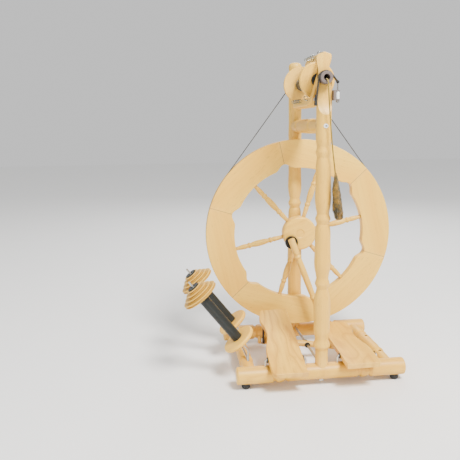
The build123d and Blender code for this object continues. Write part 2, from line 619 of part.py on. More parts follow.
def tangent_angle(point, side):
    """Where a tangent from the point touches the strap's circle."""
    return degrees(atan2(point[1], point[0])) + side * degrees(acos(STRAP_R / hypot(*point)))


with BuildPart() as brake_strap:
    strap_plane = Plane(origin=at(0, STRAP_Y[1], FLYER_Z), x_dir=X, z_dir=FRONT)
    with BuildLine(strap_plane) as strap_line:
        left_touch = polar(STRAP_R, tangent_angle(STRAP_FOOT, -1))
        right_touch = polar(STRAP_R, tangent_angle(STRAP_KNOT, 1))
        Line(STRAP_FOOT, left_touch)
        ThreePointArc(left_touch, polar(STRAP_R, 105), right_touch)
        Line(right_touch, STRAP_KNOT)
    strap_way = Vector(left_touch[0] - STRAP_FOOT[0], 0, left_touch[1] - STRAP_FOOT[1])
    strap_foot = at(STRAP_FOOT[0], (STRAP_Y[0] + STRAP_Y[1]) / 2, FLYER_Z + STRAP_FOOT[1])
    with BuildSketch(Plane(origin=strap_foot, x_dir=Y, z_dir=strap_way)) as strap_section:
        Rectangle(STRAP_Y[1] - STRAP_Y[0], 2 * STRAP_HALF)
    # The foot is wider towards the back, where the screw meets the post's side.
    with BuildSketch(Plane(origin=strap_foot, x_dir=Y, z_dir=strap_way)) as tab:
        with Locations((STRAP_TAB_BACK / 2, 0)):
            Rectangle(STRAP_Y[1] - STRAP_Y[0] + STRAP_TAB_BACK, 2 * STRAP_HALF)
    extrude(tab.sketch, amount=STRAP_TAB_RISE)
    strap_path = Wire([edge.moved(Location((0, (STRAP_Y[0] - STRAP_Y[1]) / 2, 0)))
                       for edge in strap_line.edges()])
    sweep(strap_section.sketch, path=strap_path)
    with Locations(at(STRAP_KNOT[0], -10, FLYER_Z + STRAP_KNOT[1])):
        Sphere(3.6)
    rod(at(STRAP_KNOT[0], -10, 690), at(STRAP_KNOT[0], -10, 697), 1.5, mode=Mode.SUBTRACT)
    rod(at(-30, 0, SCREW_Z), at(-6, 0, SCREW_Z), 2, mode=Mode.SUBTRACT)
finish(brake_strap, "brake_strap")

with BuildPart() as strap_screw:
    rod(at(-22.8, 0, SCREW_Z), at(-20.95, 0, SCREW_Z), 3.6)
    rod(at(-20.95, 0, SCREW_Z), at(-6, 0, SCREW_Z), 2)
finish(strap_screw, "strap_screw")

ROD_X = STRAP_KNOT[0]
with BuildPart() as brake_bracket:
    block((17.4, -15, 659), (22.4, 3, 681))
    block((19.2, -15, 679), (31.5, -5, 681))
    block((19.2, -15, 659), (31.5, -5, 661))
    rod(at(ROD_X, -10, 650), at(ROD_X, -10, 690), 1.5, mode=Mode.SUBTRACT)
    for pin_z in (665, 675):
        rod(at(12, 0, pin_z), at(17.4, 0, pin_z), 1.5)
finish(brake_bracket, "brake_bracket")

with BuildPart() as brake_rod:
    rod(at(ROD_X, -10, 653), at(ROD_X, -10, 697), 1.5)
    with BuildSketch(Plane(origin=at(ROD_X, -10, 655), z_dir=Z)):
        RegularPolygon(4, 6)
    extrude(amount=3.6)
finish(brake_rod, "brake_rod")

with BuildPart() as brake_knob:
    ring(at(ROD_X, -10, 661.4), at(ROD_X, -10, 678.6), 4.2, 1.5 + RUNNING_GAP)
    fillet(brake_knob.edges().filter_by(GeomType.CIRCLE).sort_by(SortBy.RADIUS)[-2:], radius=1.2)
finish(brake_knob, "brake_knob")

# ---------------------------------------------------------------- bobbins


def bobbin_core(start, along, side):
    """Plastic tube with an insert at each end, from the front insert backwards."""
    core_runs = [
        [(-9, BOBBIN_INSERT_R - 1), (-8, BOBBIN_INSERT_R)],
        [(-8, BOBBIN_INSERT_R), (-5, BOBBIN_INSERT_R)],
        [(-5, 10), (5, 10)],
        [(5, BOBBIN_TUBE_R), (BOBBIN_SPAN - 27, BOBBIN_TUBE_R)],
        [(BOBBIN_SPAN - 27, 10), (BOBBIN_SPAN, 10)],
        [(BOBBIN_SPAN, BOBBIN_INSERT_R), (BOBBIN_SPAN + 3, BOBBIN_INSERT_R)],
    ]
    turned(start, along, side, core_runs)
    rod(start - along * 12, start + along * (BOBBIN_SPAN + 6), BOBBIN_BORE_R, mode=Mode.SUBTRACT)


def bobbin_disc(start, along, side):
    """Plain disc at the front end."""
    turned(start, along, side,
           [[(-5, 12), (-5, BOBBIN_DISC_R - 5)],
            [(-5, BOBBIN_DISC_R - 5), (-4, BOBBIN_DISC_R - 1.5), (0, BOBBIN_DISC_R),
             (4, BOBBIN_DISC_R - 1.5), (5, BOBBIN_DISC_R - 5)]])
    rod(start - along * 12, start + along * 12, 10, mode=Mode.SUBTRACT)


def bobbin_whorl(start, along, side):
    """Four grooved steps, the smallest outermost."""
    whorl_runs = []
    for index, step_r in enumerate(WHORL_STEPS):
        low = BOBBIN_SPAN - WHORL_STEP * (len(WHORL_STEPS) - index)
        high = low + WHORL_STEP
        middle = (low + high) / 2
        whorl_runs.append([(low, step_r - 0.8), (low + 0.9, step_r)])
        whorl_runs.append([(low + 0.9, step_r), (middle - 0.9, step_r - 3.7)])
        whorl_runs.append([(middle - 0.9, step_r - 3.7), (middle + 0.9, step_r - 3.7)])
        whorl_runs.append([(middle + 0.9, step_r - 3.7), (high - 0.9, step_r)])
        whorl_runs.append([(high - 0.9, step_r), (high, step_r - 0.8)])
    turned(start, along, side, whorl_runs)
    rod(start + along * 130, start + along * (BOBBIN_SPAN + 6), 10, mode=Mode.SUBTRACT)


BOBBIN_START = at(0, BOBBIN_DISC_Y, FLYER_Z)
with BuildPart() as flyer_bobbin_core:
    bobbin_core(BOBBIN_START, Y, Z)
finish(flyer_bobbin_core, "bobbin_core")

with BuildPart() as flyer_bobbin_disc:
    bobbin_disc(BOBBIN_START, Y, Z)
finish(flyer_bobbin_disc, "bobbin_disc")

with BuildPart() as flyer_bobbin_whorl:
    bobbin_whorl(BOBBIN_START, Y, Z)
finish(flyer_bobbin_whorl, "bobbin_whorl")

with BuildPart() as wound_yarn:
    turned(BOBBIN_START, Y, Z,
           [[(6, 14.5), (14, 16.3), (60, 16.8), (110, 16.3), (BOBBIN_SPAN - 28, 14.6)]])
    rod(BOBBIN_START, BOBBIN_START + Y * BOBBIN_SPAN, BOBBIN_TUBE_R, mode=Mode.SUBTRACT)
finish(wound_yarn, "wound_yarn")

KATE_UP = Vector(-sin(radians(KATE_LEAN)), 0, cos(radians(KATE_LEAN)))
for index, kate_y in enumerate(KATE_Y):
    disc_middle = at(KATE_DISC[0], kate_y, KATE_DISC[1])
    with BuildPart() as spare_core:
        bobbin_core(disc_middle, KATE_UP, Y)
    finish(spare_core, f"spare_bobbin_{index + 1}_core")
    with BuildPart() as spare_wood:
        bobbin_disc(disc_middle, KATE_UP, Y)
        bobbin_whorl(disc_middle, KATE_UP, Y)
    finish(spare_wood, f"spare_bobbin_{index + 1}_wood")

KATE_TIPS = [at(KATE_DISC[0], kate_y, KATE_DISC[1]) + KATE_UP * 188 for kate_y in KATE_Y]
with BuildPart() as kate_wire:
    bent_rod([KATE_TIPS[0], at(-165, KATE_Y[0], 68.1), at(-167, 47, 45), at(-167, 47, 35),
              at(-167, 57, 35), at(-167, 57, 48), at(-177, 90, 68),
              at(-171.5, KATE_Y[1], 76.3), KATE_TIPS[1]], (8, 5, 4, 4, 5, 12, 8), WIRE_R)
finish(kate_wire, "kate_wire")

# ---------------------------------------------------------------- treadles, rocker and footman
TREADLE_TILT = {-1: LEFT_TILT, 1: RIGHT_TILT}


def on_treadle(side, x, u, rise):
    """A place on a treadle: x from the middle, u along the board, rise above its mid-plane."""
    lean = radians(TREADLE_TILT[side])
    return at(side * x, u * cos(lean) - rise * sin(lean), PIVOT_Z + u * sin(lean) + rise * cos(lean))


def treadle_normal(side):
    lean = radians(TREADLE_TILT[side])
    return Vector(0, -sin(lean), cos(lean))


for side, name in zip(SIDES, ("left_treadle", "right_treadle")):
    with BuildPart() as treadle:
        with BuildSketch(Plane(origin=on_treadle(side, 0, 0, -TREADLE_HALF), x_dir=X,
                               z_dir=treadle_normal(side))) as board:
            with BuildLine():
                Polyline((side * 125.5, -56), (side * 45, -57), (side * 45, 189), (side * 116, 187))
                Spline((side * 116, 187), (side * 121, 162), (side * 122, 140), (side * 116.5, 118),
                       (side * 114, 98), (side * 116, 76), (side * 125, 38), (side * 127.4, 0),
                       (side * 125.5, -56))
            make_face()
            outer_corners = board.vertices().filter_by_position(Axis.X, *sorted((side * 115, side * 126)))
            inner_corners = board.vertices().filter_by_position(Axis.X, *sorted((side * 44, side * 46)))
            fillet(outer_corners, radius=9)
            fillet(inner_corners.sort_by(Axis.Y)[0], radius=10)
            fillet(inner_corners.sort_by(Axis.Y)[-1], radius=4)
        extrude(amount=2 * TREADLE_HALF)
        top_and_bottom = treadle.faces().sort_by(Axis((0, 0, 0), treadle_normal(side)))
        fillet(top_and_bottom[0].edges() + top_and_bottom[-1].edges(), radius=1.6)
        for hole_x, depth in ((45, 16), (127, -16)):
            rod(at(side * (hole_x - depth), 0, PIVOT_Z), at(side * (hole_x + depth), 0, PIVOT_Z),
                BUSH_R + RUNNING_GAP, mode=Mode.SUBTRACT)
        with BuildSketch(Plane(origin=on_treadle(side, LINK_X, LINK_U, -TREADLE_HALF - 1), x_dir=X,
                               z_dir=treadle_normal(side))) as link_slot:
            Rectangle(5, 17)
        extrude(link_slot.sketch, amount=2 * TREADLE_HALF - 1, mode=Mode.SUBTRACT)
        rod(on_treadle(side, 108, LINK_U, LINK_RISE), on_treadle(side, 124, LINK_U, LINK_RISE), 2,
            mode=Mode.SUBTRACT)
    finish(treadle, name)

for side, name in zip(SIDES, ("left_link_pin", "right_link_pin")):
    with BuildPart() as link_pin:
        rod(on_treadle(side, 108, LINK_U, LINK_RISE), on_treadle(side, 122.4, LINK_U, LINK_RISE), 2)
    finish(link_pin, name)

with BuildPart() as treadle_brackets:
    for side in SIDES:
        for wire_x, into in ((INNER_WIRE_X, 1), (OUTER_WIRE_X, -1)):
            bent_rod([at(side * wire_x, 0, 38), at(side * wire_x, 0, PIVOT_Z),
                      at(side * (wire_x + into * 20), 0, PIVOT_Z)], (4,), WIRE_R)
finish(treadle_brackets, "treadle_brackets")

with BuildPart() as treadle_bushes:
    for side in SIDES:
        for edge_x, into in ((45, 1), (127.8, -1)):
            ring(at(side * (edge_x - into * 0.4), 0, PIVOT_Z), at(side * (edge_x + into * 15), 0, PIVOT_Z),
                 BUSH_R, WIRE_R)
            ring(at(side * (edge_x - into * 2.2), 0, PIVOT_Z), at(side * (edge_x - into * 0.4), 0, PIVOT_Z),
                 6.4, WIRE_R)
finish(treadle_bushes, "treadle_bushes")

ROCKER_ALONG = Vector(cos(radians(ROCKER_TILT)), 0, -sin(radians(ROCKER_TILT)))
ROCKER_MIDDLE = at(0, ROCKER_Y, ROCKER_Z)
ROCKER_LEFT_RUNS = [
    [(-ROCKER_HALF, 8.0), (-ROCKER_HALF + 1, 9.4), (-ROCKER_HALF + 3, 10)],
    [(-ROCKER_HALF + 3, 10), (-102, 10)],
    [(-102, 10), (-98, 8.6), (-92, 8)],
    [(-92, 8), (0, 8)],
]
ROCKER_RUNS = ROCKER_LEFT_RUNS + [
    [(-d, r) for d, r in reversed(run)] for run in reversed(ROCKER_LEFT_RUNS)
]
with BuildPart() as rocker_bar:
    turned(ROCKER_MIDDLE, ROCKER_ALONG, Y, ROCKER_RUNS)
    rod(at(0, ROCKER_Y - 20, ROCKER_Z), at(0, ROCKER_Y + 20, ROCKER_Z), 4.5, mode=Mode.SUBTRACT)
    for side in SIDES:
        slot_middle = ROCKER_MIDDLE + ROCKER_ALONG * (side * (LINK_X + 1.4))
        with BuildSketch(Plane(origin=slot_middle - Y * 20, x_dir=ROCKER_ALONG, z_dir=Y)) as slot:
            with Locations((0, -4)):
                Rectangle(11, 24)
        extrude(slot.sketch, amount=40, mode=Mode.SUBTRACT)
finish(rocker_bar, "rocker_bar")

with BuildPart() as rocker_bushes:
    ring(at(0, ROCKER_Y - 9, ROCKER_Z), at(0, ROCKER_Y + 9, ROCKER_Z), 4.5, 3 + RUNNING_GAP)
    for start_y in (ROCKER_Y - 11, ROCKER_Y + 9):
        ring(at(0, start_y, ROCKER_Z), at(0, start_y + 2, ROCKER_Z), 7, 3 + RUNNING_GAP)
finish(rocker_bushes, "rocker_bushes")

with BuildPart() as rocker_axle:
    rod(at(0, 6, ROCKER_Z), at(0, BASE_DEPTH - 6, ROCKER_Z), 3)
finish(rocker_axle, "rocker_axle")

LINK_DROP = 48.0
for side, name in zip(SIDES, ("left_link", "right_link")):
    pivot = on_treadle(side, LINK_X, LINK_U, LINK_RISE)
    with BuildPart() as link:
        with BuildSketch(Plane(origin=pivot - X * 2, x_dir=Y, z_dir=X)):
            Circle(4.5)
            with Locations((0, -LINK_DROP / 2)):
                Rectangle(9, LINK_DROP)
            Circle(2 + RUNNING_GAP, mode=Mode.SUBTRACT)
        extrude(amount=4)
    finish(link, name)

FOOTMAN_PIN = on_treadle(1, FOOTMAN_X, FOOTMAN_U, FOOTMAN_RISE)
FOOTMAN_HEAD = around_axle(CRANK_ANGLE, CRANK_THROW, FOOTMAN_TOP_Y)
FOOTMAN_WAY = (FOOTMAN_PIN - FOOTMAN_HEAD).normalized()
FOOTMAN_SIDE = FOOTMAN_WAY.cross(X).cross(FOOTMAN_WAY).normalized()
with BuildPart() as footman:
    turned(FOOTMAN_HEAD, FOOTMAN_WAY, FOOTMAN_SIDE, FOOTMAN_RUNS)
    rod(FOOTMAN_HEAD, FOOTMAN_HEAD + Y * 20, 4, mode=Mode.SUBTRACT)
    rod(FOOTMAN_HEAD + FOOTMAN_WAY * 172, FOOTMAN_HEAD + FOOTMAN_WAY * 190, 3, mode=Mode.SUBTRACT)
finish(footman, "footman")

with BuildPart() as footman_connector:
    rod(FOOTMAN_HEAD + FOOTMAN_WAY * 172, FOOTMAN_HEAD + FOOTMAN_WAY * 184, 3)
    rod(FOOTMAN_HEAD + FOOTMAN_WAY * 184, FOOTMAN_PIN - FOOTMAN_WAY * 10, 3.4)
    rod(FOOTMAN_PIN - FOOTMAN_WAY * 10, FOOTMAN_PIN - FOOTMAN_WAY * 3, 2.6)
    rod(FOOTMAN_PIN - X * 4.6, FOOTMAN_PIN + X * 4.6, 5)
    rod(FOOTMAN_PIN - X * 6, FOOTMAN_PIN + X * 6, 2 + RUNNING_GAP, mode=Mode.SUBTRACT)
finish(footman_connector, "footman_connector")

with BuildPart() as footman_bracket:
    with BuildSketch(Plane(origin=on_treadle(1, FOOTMAN_X, FOOTMAN_U, TREADLE_HALF), x_dir=X,
                           z_dir=treadle_normal(1))) as plate:
        RectangleRounded(14.8, 16, 2)
    extrude(plate.sketch, amount=1.8)
    for side in SIDES:
        ear_face = FOOTMAN_PIN + X * (side * 5.2)
        with BuildSketch(Plane(origin=ear_face, x_dir=treadle_normal(1).cross(X * side),
                               z_dir=X * side)) as ear:
            Circle(5)
            with Locations((0, -4)):
                Rectangle(10, 8)
        extrude(ear.sketch, amount=2)
    rod(FOOTMAN_PIN - X * 7.8, FOOTMAN_PIN + X * 7.8, 2)
finish(footman_bracket, "footman_bracket")

# ---------------------------------------------------------------- yarn and fibre
cord("yarn", YARN_POINTS, YARN_R)
cord("leader_yarn", LEADER_POINTS, LEADER_R)

TUFT_WAY = (at(*TUFT_END) - at(*TUFT_TOP)).normalized()
TUFT_SIDE = TUFT_WAY.cross(Y).cross(TUFT_WAY).normalized()
with BuildPart() as fibre_tuft:
    turned(at(*TUFT_TOP), TUFT_WAY, Y, TUFT_RUNS)
    yarn_points = [at(*station) for station in YARN_POINTS]
    bent_rod(yarn_points, cord_radii(yarn_points), YARN_R, mode=Mode.SUBTRACT)
finish(fibre_tuft, "fibre_tuft")
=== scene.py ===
"""Upright treadle spinning wheel in turned beech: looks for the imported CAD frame.

Metres, in the part's own frame: +Z up, +Y from the orifice to the rear, origin on the floor.
"""
from math import cos, pi, radians, sin

import bpy
from mathutils import Matrix, Vector, noise


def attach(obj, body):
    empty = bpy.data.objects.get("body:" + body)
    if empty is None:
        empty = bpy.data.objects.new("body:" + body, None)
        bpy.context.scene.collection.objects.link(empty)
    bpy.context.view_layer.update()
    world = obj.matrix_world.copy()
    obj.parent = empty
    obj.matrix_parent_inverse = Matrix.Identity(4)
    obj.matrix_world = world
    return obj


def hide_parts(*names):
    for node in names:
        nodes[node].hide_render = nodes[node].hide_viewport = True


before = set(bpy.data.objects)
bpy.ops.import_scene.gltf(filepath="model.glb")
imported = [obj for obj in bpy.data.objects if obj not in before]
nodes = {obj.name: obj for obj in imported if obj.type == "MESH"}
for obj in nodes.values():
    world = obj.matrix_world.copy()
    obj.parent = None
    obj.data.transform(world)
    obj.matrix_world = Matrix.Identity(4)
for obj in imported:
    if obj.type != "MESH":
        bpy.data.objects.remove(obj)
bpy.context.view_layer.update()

# ---------------------------------------------------------------- places shared with the CAD
POST = Vector((0.0330, -0.1209, 0.0))       # the front post's foot, from which places are given
AXLE = POST + Vector((0, 0.226, 0.3196))
FLYER = POST + Vector((0, 0, 0.708))
SPOKE_ANGLE = 12.7
SEGMENTS = 6


def at(x, y, z):
    """A place given in millimetres from the front post's foot."""
    return POST + Vector((x, y, z)) / 1000


# ---------------------------------------------------------------- camera
CAMERA_PLACE = at(-358.84, -1218.21, 604.24)
CAMERA_YAW = 0.123
CAMERA_DROP = 0.131
CAMERA_ROLL = -0.011
CAMERA_LENS = 43.68
CAMERA_SHIFT = (-0.0039, -0.065)


def make_camera():
    forward = Vector((sin(CAMERA_YAW) * cos(CAMERA_DROP), cos(CAMERA_YAW) * cos(CAMERA_DROP),
                      -sin(CAMERA_DROP)))
    right = Vector((cos(CAMERA_YAW), -sin(CAMERA_YAW), 0))
    up = right.cross(forward)
    rolled_right = cos(CAMERA_ROLL) * right + sin(CAMERA_ROLL) * up
    rolled_up = cos(CAMERA_ROLL) * up - sin(CAMERA_ROLL) * right
    data = bpy.data.cameras.new("camera")
    data.sensor_width = 36
    data.lens = CAMERA_LENS
    data.shift_x, data.shift_y = CAMERA_SHIFT
    data.clip_end = 20
    camera = bpy.data.objects.new("camera", data)
    axes = Matrix((rolled_right, rolled_up, -forward)).transposed()
    camera.matrix_world = Matrix.Translation(CAMERA_PLACE) @ axes.to_4x4()
    bpy.context.collection.objects.link(camera)
    bpy.context.scene.camera = camera


make_camera()

# ---------------------------------------------------------------- node helpers


class Shader:
    """A material's node tree, with short calls for the nodes that the finishes share."""

    def __init__(self, name):
        self.material = bpy.data.materials.new(name)
        self.material.use_nodes = True
        self.tree = self.material.node_tree
        self.surface = self.tree.nodes["Principled BSDF"]
        self.place = self.add("ShaderNodeTexCoord").outputs["Object"]

    def add(self, kind, **settings):
        node = self.tree.nodes.new(kind)
        for key, value in settings.items():
            setattr(node, key, value)
        return node

    def link(self, output, socket):
        self.tree.links.new(output, socket)

    def set(self, **values):
        for key, value in values.items():
            self.surface.inputs[key.replace("_", " ")].default_value = value

    def moved(self, output, rotation=(0, 0, 0), scale=(1, 1, 1), shift=(0, 0, 0)):
        """Coordinates turned, then scaled, then shifted."""
        turn = self.add("ShaderNodeMapping")
        turn.inputs["Rotation"].default_value = rotation
        self.link(output, turn.inputs["Vector"])
        stretch = self.add("ShaderNodeMapping")
        stretch.inputs["Scale"].default_value = scale
        stretch.inputs["Location"].default_value = shift
        self.link(turn.outputs["Vector"], stretch.inputs["Vector"])
        return stretch.outputs["Vector"]

    def noise(self, vector, scale, detail=4, roughness=0.55, distortion=0.0):
        node = self.add("ShaderNodeTexNoise")
        node.inputs["Scale"].default_value = scale
        node.inputs["Detail"].default_value = detail
        node.inputs["Roughness"].default_value = roughness
        node.inputs["Distortion"].default_value = distortion
        self.link(vector, node.inputs["Vector"])
        return node.outputs["Fac"]

    def ramp(self, output, *stops):
        """A colour ramp of (position, colour) stops; a number stands for a grey."""
        node = self.add("ShaderNodeValToRGB")
        elements = node.color_ramp.elements
        while len(elements) < len(stops):
            elements.new(0.5)
        for element, (position, colour) in zip(elements, stops):
            element.position = position
            shown = colour if isinstance(colour, tuple) else (colour,) * 3
            element.color = (*shown, 1)
        self.link(output, node.inputs["Fac"])
        return node.outputs["Color"]

    def mix(self, factor, first, second, blend="MIX"):
        node = self.add("ShaderNodeMix", data_type="RGBA", blend_type=blend)
        sockets = (node.inputs[0], node.inputs[6], node.inputs[7])
        for value, socket in zip((factor, first, second), sockets):
            if isinstance(value, bpy.types.NodeSocket):
                self.link(value, socket)
            elif isinstance(value, tuple):
                socket.default_value = (*value, 1)
            else:
                socket.default_value = value
        return node.outputs[2]

    def maths(self, operation, first, second=0.0, clamp=False):
        node = self.add("ShaderNodeMath", operation=operation, use_clamp=clamp)
        for value, socket in zip((first, second), node.inputs):
            if isinstance(value, bpy.types.NodeSocket):
                self.link(value, socket)
            else:
                socket.default_value = value
        return node.outputs[0]

    def colour(self, output):
        self.link(output, self.surface.inputs["Base Color"])

    def rough(self, output, low, high):
        node = self.add("ShaderNodeMapRange")
        node.inputs["To Min"].default_value = low
        node.inputs["To Max"].default_value = high
        self.link(output, node.inputs["Value"])
        self.link(node.outputs["Result"], self.surface.inputs["Roughness"])

    def bump(self, *layers):
        """Stacked bumps, each (height output, depth in metres)."""
        normal = None
        for height, depth in layers:
            node = self.add("ShaderNodeBump")
            node.inputs["Distance"].default_value = depth
            self.link(height, node.inputs["Height"])
            if normal is not None:
                self.link(normal, node.inputs["Normal"])
            normal = node.outputs["Normal"]
        self.link(normal, self.surface.inputs["Normal"])

    def edges(self):
        """1 on worn convex edges and 0 elsewhere."""
        pointiness = self.add("ShaderNodeNewGeometry").outputs["Pointiness"]
        return self.ramp(pointiness, (0.515, 0.0), (0.60, 1.0))

    def crease_shade(self):
        """Painted shade: 1 in creases and coves, where shade falls, and 0 elsewhere."""
        pointiness = self.add("ShaderNodeNewGeometry").outputs["Pointiness"]
        return self.ramp(pointiness, (0.38, 1.0), (0.485, 0.0))


    def shade(self, distance):
        """Painted shade from ambient occlusion: 1 deep in coves and joints, and 0 in the open."""
        closed = self.add("ShaderNodeAmbientOcclusion", samples=8, only_local=False)
        closed.inputs["Distance"].default_value = distance
        return self.ramp(closed.outputs["AO"], (0.25, 1.0), (0.88, 0.0))


# ---------------------------------------------------------------- finishes
BEECH_LIGHT = (0.92, 0.58, 0.080)
BEECH_MID = (0.84, 0.455, 0.046)
BEECH_DARK = (0.54, 0.225, 0.018)


def beech(name, grain, seed, shade=1.0, joints=(), figure=0.10, contour=0.0):
    """Oiled beech with its grain along the given direction.

    Joints are (point, normal) glue lines; contour is the strength of a flat-sawn board's figure; shade
    scales every colour as painted lighting, below 1 for parts in shade and above 1 for well lit ones.
    """
    wood = Shader(name)
    rotation = Vector(grain).rotation_difference(Vector((0, 0, 1))).to_euler()
    shift = (seed * 1.37, seed * 0.71, seed * 2.13)
    figure_at = wood.moved(wood.place, rotation, (14, 5, 1.1), shift)
    fibre_at = wood.moved(wood.place, rotation, (260, 260, 9), shift)
    fleck_at = wood.moved(wood.place, rotation, (520, 520, 75), shift)
    tone = wood.noise(figure_at, 1.0, 3, 0.5, 0.8)
    bands = wood.add("ShaderNodeTexWave", wave_type="BANDS", bands_direction="X")
    bands.inputs["Scale"].default_value = 1.6
    bands.inputs["Distortion"].default_value = 5.5
    bands.inputs["Detail"].default_value = 2.5
    bands.inputs["Detail Scale"].default_value = 0.9
    wood.link(figure_at, bands.inputs["Vector"])
    fibres = wood.noise(fibre_at, 1.0, 4, 0.6)
    flecks = wood.ramp(wood.noise(fleck_at, 1.0, 1, 0.4), (0.66, 0.0), (0.74, 1.0))
    colour = wood.mix(wood.ramp(tone, (0.32, 0.0), (0.70, 1.0)),
                      tuple(c * shade for c in BEECH_LIGHT), tuple(c * shade for c in BEECH_MID))
    growth = wood.maths("MULTIPLY", wood.ramp(bands.outputs["Fac"], (0.45, 0.0), (0.95, 1.0)), figure)
    colour = wood.mix(growth, colour, tuple(c * shade for c in BEECH_DARK))
    if contour:
        board_at = wood.moved(wood.place, rotation, (17, 17, 5.5), shift)
        hills = wood.noise(board_at, 1.0, 1.5, 0.4, 0.3)
        rings = wood.maths("FRACT", wood.maths("MULTIPLY", hills, 7.0))
        ring_edge = wood.ramp(rings, (0.0, 0.35), (0.55, 0.0), (0.93, 0.75), (1.0, 0.35))
        colour = wood.mix(wood.maths("MULTIPLY", ring_edge, contour), colour,
                          tuple(c * shade for c in BEECH_DARK))
    colour = wood.mix(wood.maths("MULTIPLY", wood.ramp(fibres, (0.48, 0.0), (0.75, 1.0)), 0.20),
                      colour, tuple(c * shade for c in BEECH_DARK))
    colour = wood.mix(wood.maths("MULTIPLY", flecks, 0.30), colour, (0.36, 0.13, 0.02))
    # Painted shade: creases and coves are darkened toward a deep brown.
    colour = wood.mix(wood.maths("MULTIPLY", wood.crease_shade(), 0.45), colour, (0.44, 0.17, 0.025))
    colour = wood.mix(wood.maths("MULTIPLY", wood.edges(), 0.25), colour, (0.94, 0.60, 0.20))
    # Painted shade: ambient occlusion darkens the coves and the joints between parts.
    colour = wood.mix(wood.maths("MULTIPLY", wood.shade(0.022), 0.75), colour,
                      tuple(c * 0.42 * shade for c in BEECH_DARK))
    for point, normal in joints:
        offset = wood.add("ShaderNodeVectorMath", operation="DOT_PRODUCT")
        offset.inputs[1].default_value = normal
        wood.link(wood.place, offset.inputs[0])
        apart = wood.maths("ABSOLUTE", wood.maths("SUBTRACT", offset.outputs["Value"],
                                                  Vector(point).dot(Vector(normal))))
        line = wood.ramp(wood.maths("MULTIPLY", apart, 1000.0), (0.35, 1.0), (1.0, 0.0))
        colour = wood.mix(wood.maths("MULTIPLY", line, 0.85), colour, (0.30, 0.14, 0.04))
    wood.colour(colour)
    wood.rough(fibres, 0.36, 0.52)
    wood.set(Specular_IOR_Level=0.42, Coat_Weight=0.10, Coat_Roughness=0.35)
    wood.bump((fibres, 0.00012), (flecks, 0.00006), (tone, 0.0004))
    return wood.material


def plastic(name, colour, rough, grain=900.0, speck=0.25, gloss=0.4, socket=None):
    """Satin moulded plastic with a fine texture and worn edges.

    The socket is the place of a key hole that faces -Y, whose shaded inside is painted as a dark disc.
    """
    shell = Shader(name)
    fine = shell.noise(shell.place, grain, 3, 0.6)
    broad = shell.noise(shell.place, 24, 3, 0.5)
    tint = shell.mix(shell.maths("MULTIPLY", broad, speck), colour,
                     tuple(min(1, c * 1.6 + 0.01) for c in colour))
    tint = shell.mix(shell.maths("MULTIPLY", shell.edges(), 0.35), tint,
                     tuple(min(1, c * 1.8 + 0.04) for c in colour))
    if socket:
        flat = shell.add("ShaderNodeVectorMath", operation="MULTIPLY")
        flat.inputs[1].default_value = (1, 0, 1)
        shell.link(shell.place, flat.inputs[0])
        apart = shell.add("ShaderNodeVectorMath", operation="DISTANCE")
        apart.inputs[1].default_value = (socket.x, 0, socket.z)
        shell.link(flat.outputs["Vector"], apart.inputs[0])
        centimetres = shell.maths("MULTIPLY", apart.outputs["Value"], 100.0)
        # Painted shade: a dark disc stands for the shaded inside of the key hole.
        hole_shade = shell.ramp(centimetres, (0.17, 1.0), (0.23, 0.0))
        tint = shell.mix(hole_shade, tint, (0.05, 0.06, 0.06))
    shell.colour(tint)
    shell.rough(fine, rough - 0.08, rough + 0.10)
    shell.set(Specular_IOR_Level=gloss)
    shell.bump((fine, 0.00006), (broad, 0.0002))
    return shell.material


def steel(name, colour, rough, grain=(0, 0, 1)):
    """Zinc-plated steel with drawing marks along the wire and dull patches."""
    metal = Shader(name)
    rotation = Vector(grain).rotation_difference(Vector((0, 0, 1))).to_euler()
    drawn = metal.noise(metal.moved(metal.place, rotation, (1400, 1400, 40)), 1.0, 3, 0.6)
    patches = metal.noise(metal.place, 90, 4, 0.6)
    metal.colour(metal.mix(metal.ramp(patches, (0.35, 0.0), (0.7, 1.0)), colour,
                           tuple(c * 0.72 for c in colour)))
    metal.rough(patches, rough - 0.08, rough + 0.14)
    metal.set(Metallic=1.0)
    metal.bump((drawn, 0.00004), (patches, 0.00006))
    return metal.material


def rubber(name, colour):
    """Matt rubber with a dusty bloom."""
    foot = Shader(name)
    dust = foot.noise(foot.place, 160, 5, 0.65)
    pores = foot.noise(foot.place, 1500, 2, 0.5)
    foot.colour(foot.mix(foot.ramp(dust, (0.45, 0.0), (0.8, 0.5)), colour, (0.09, 0.085, 0.08)))
    foot.rough(dust, 0.62, 0.85)
    foot.bump((pores, 0.00008), (dust, 0.0002))
    return foot.material


def leather(name, colour):
    """Dark strap leather with a pebbled grain and scuffed edges."""
    hide = Shader(name)
    cells = hide.add("ShaderNodeTexVoronoi", feature="DISTANCE_TO_EDGE")
    cells.inputs["Scale"].default_value = 1100
    hide.link(hide.place, cells.inputs["Vector"])
    pebble = hide.ramp(cells.outputs["Distance"], (0.0, 0.0), (0.25, 1.0))
    scuff = hide.noise(hide.place, 120, 4, 0.6)
    tint = hide.mix(hide.ramp(scuff, (0.5, 0.0), (0.8, 0.5)), colour,
                    tuple(c * 2 + 0.008 for c in colour))
    hide.colour(hide.mix(hide.maths("MULTIPLY", hide.edges(), 0.25), tint, (0.06, 0.05, 0.04)))
    hide.rough(pebble, 0.62, 0.46)
    hide.bump((pebble, 0.0001), (scuff, 0.0002))
    return hide.material


